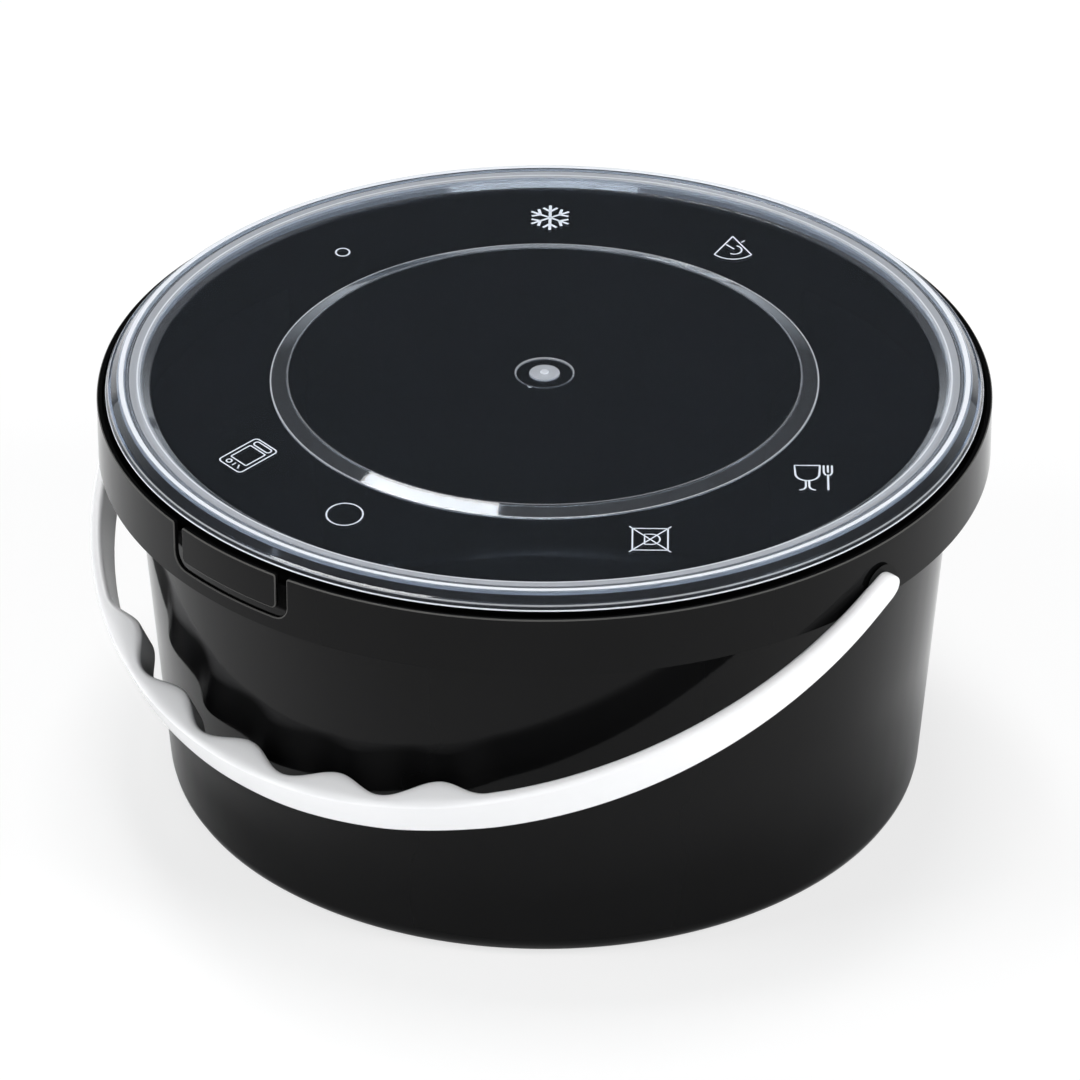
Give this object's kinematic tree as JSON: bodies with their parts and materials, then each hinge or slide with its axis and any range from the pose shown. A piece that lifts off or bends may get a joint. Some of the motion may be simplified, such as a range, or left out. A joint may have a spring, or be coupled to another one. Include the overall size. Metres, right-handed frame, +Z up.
{
  "type": "round plastic food bucket with lid and bail handle",
  "caption": "Round tapered food bucket, glossy black, with a clear push-on lid, a collar with a tear tab and a white bail handle with a finger grip.",
  "frame": {"origin": "centre of the base, on the bucket's axis, on the surface it stands on", "axes": "+Z up along the bucket's axis; X along the handle's pivot axis; the handle hangs and the tear tab sits on the -Y side"},
  "size_m": [0.2744, 0.266, 0.134],
  "materials": {
    "bucket_plastic": "polished black polypropylene",
    "lid_plastic": "polished clear polypropylene",
    "handle_plastic": "smooth white polypropylene"
  },
  "bodies": {
    "bucket": {"bucket": "bucket_plastic", "lid": "lid_plastic"},
    "handle": {"handle": "handle_plastic"}
  },
  "joints": [
    {"name": "handle_swing", "type": "hinge", "parent": "bucket", "child": "handle", "pos_m": [0, 0, 0.115], "axis": [-1, 0, 0], "range_deg": [0, 232.9]}
  ]
}
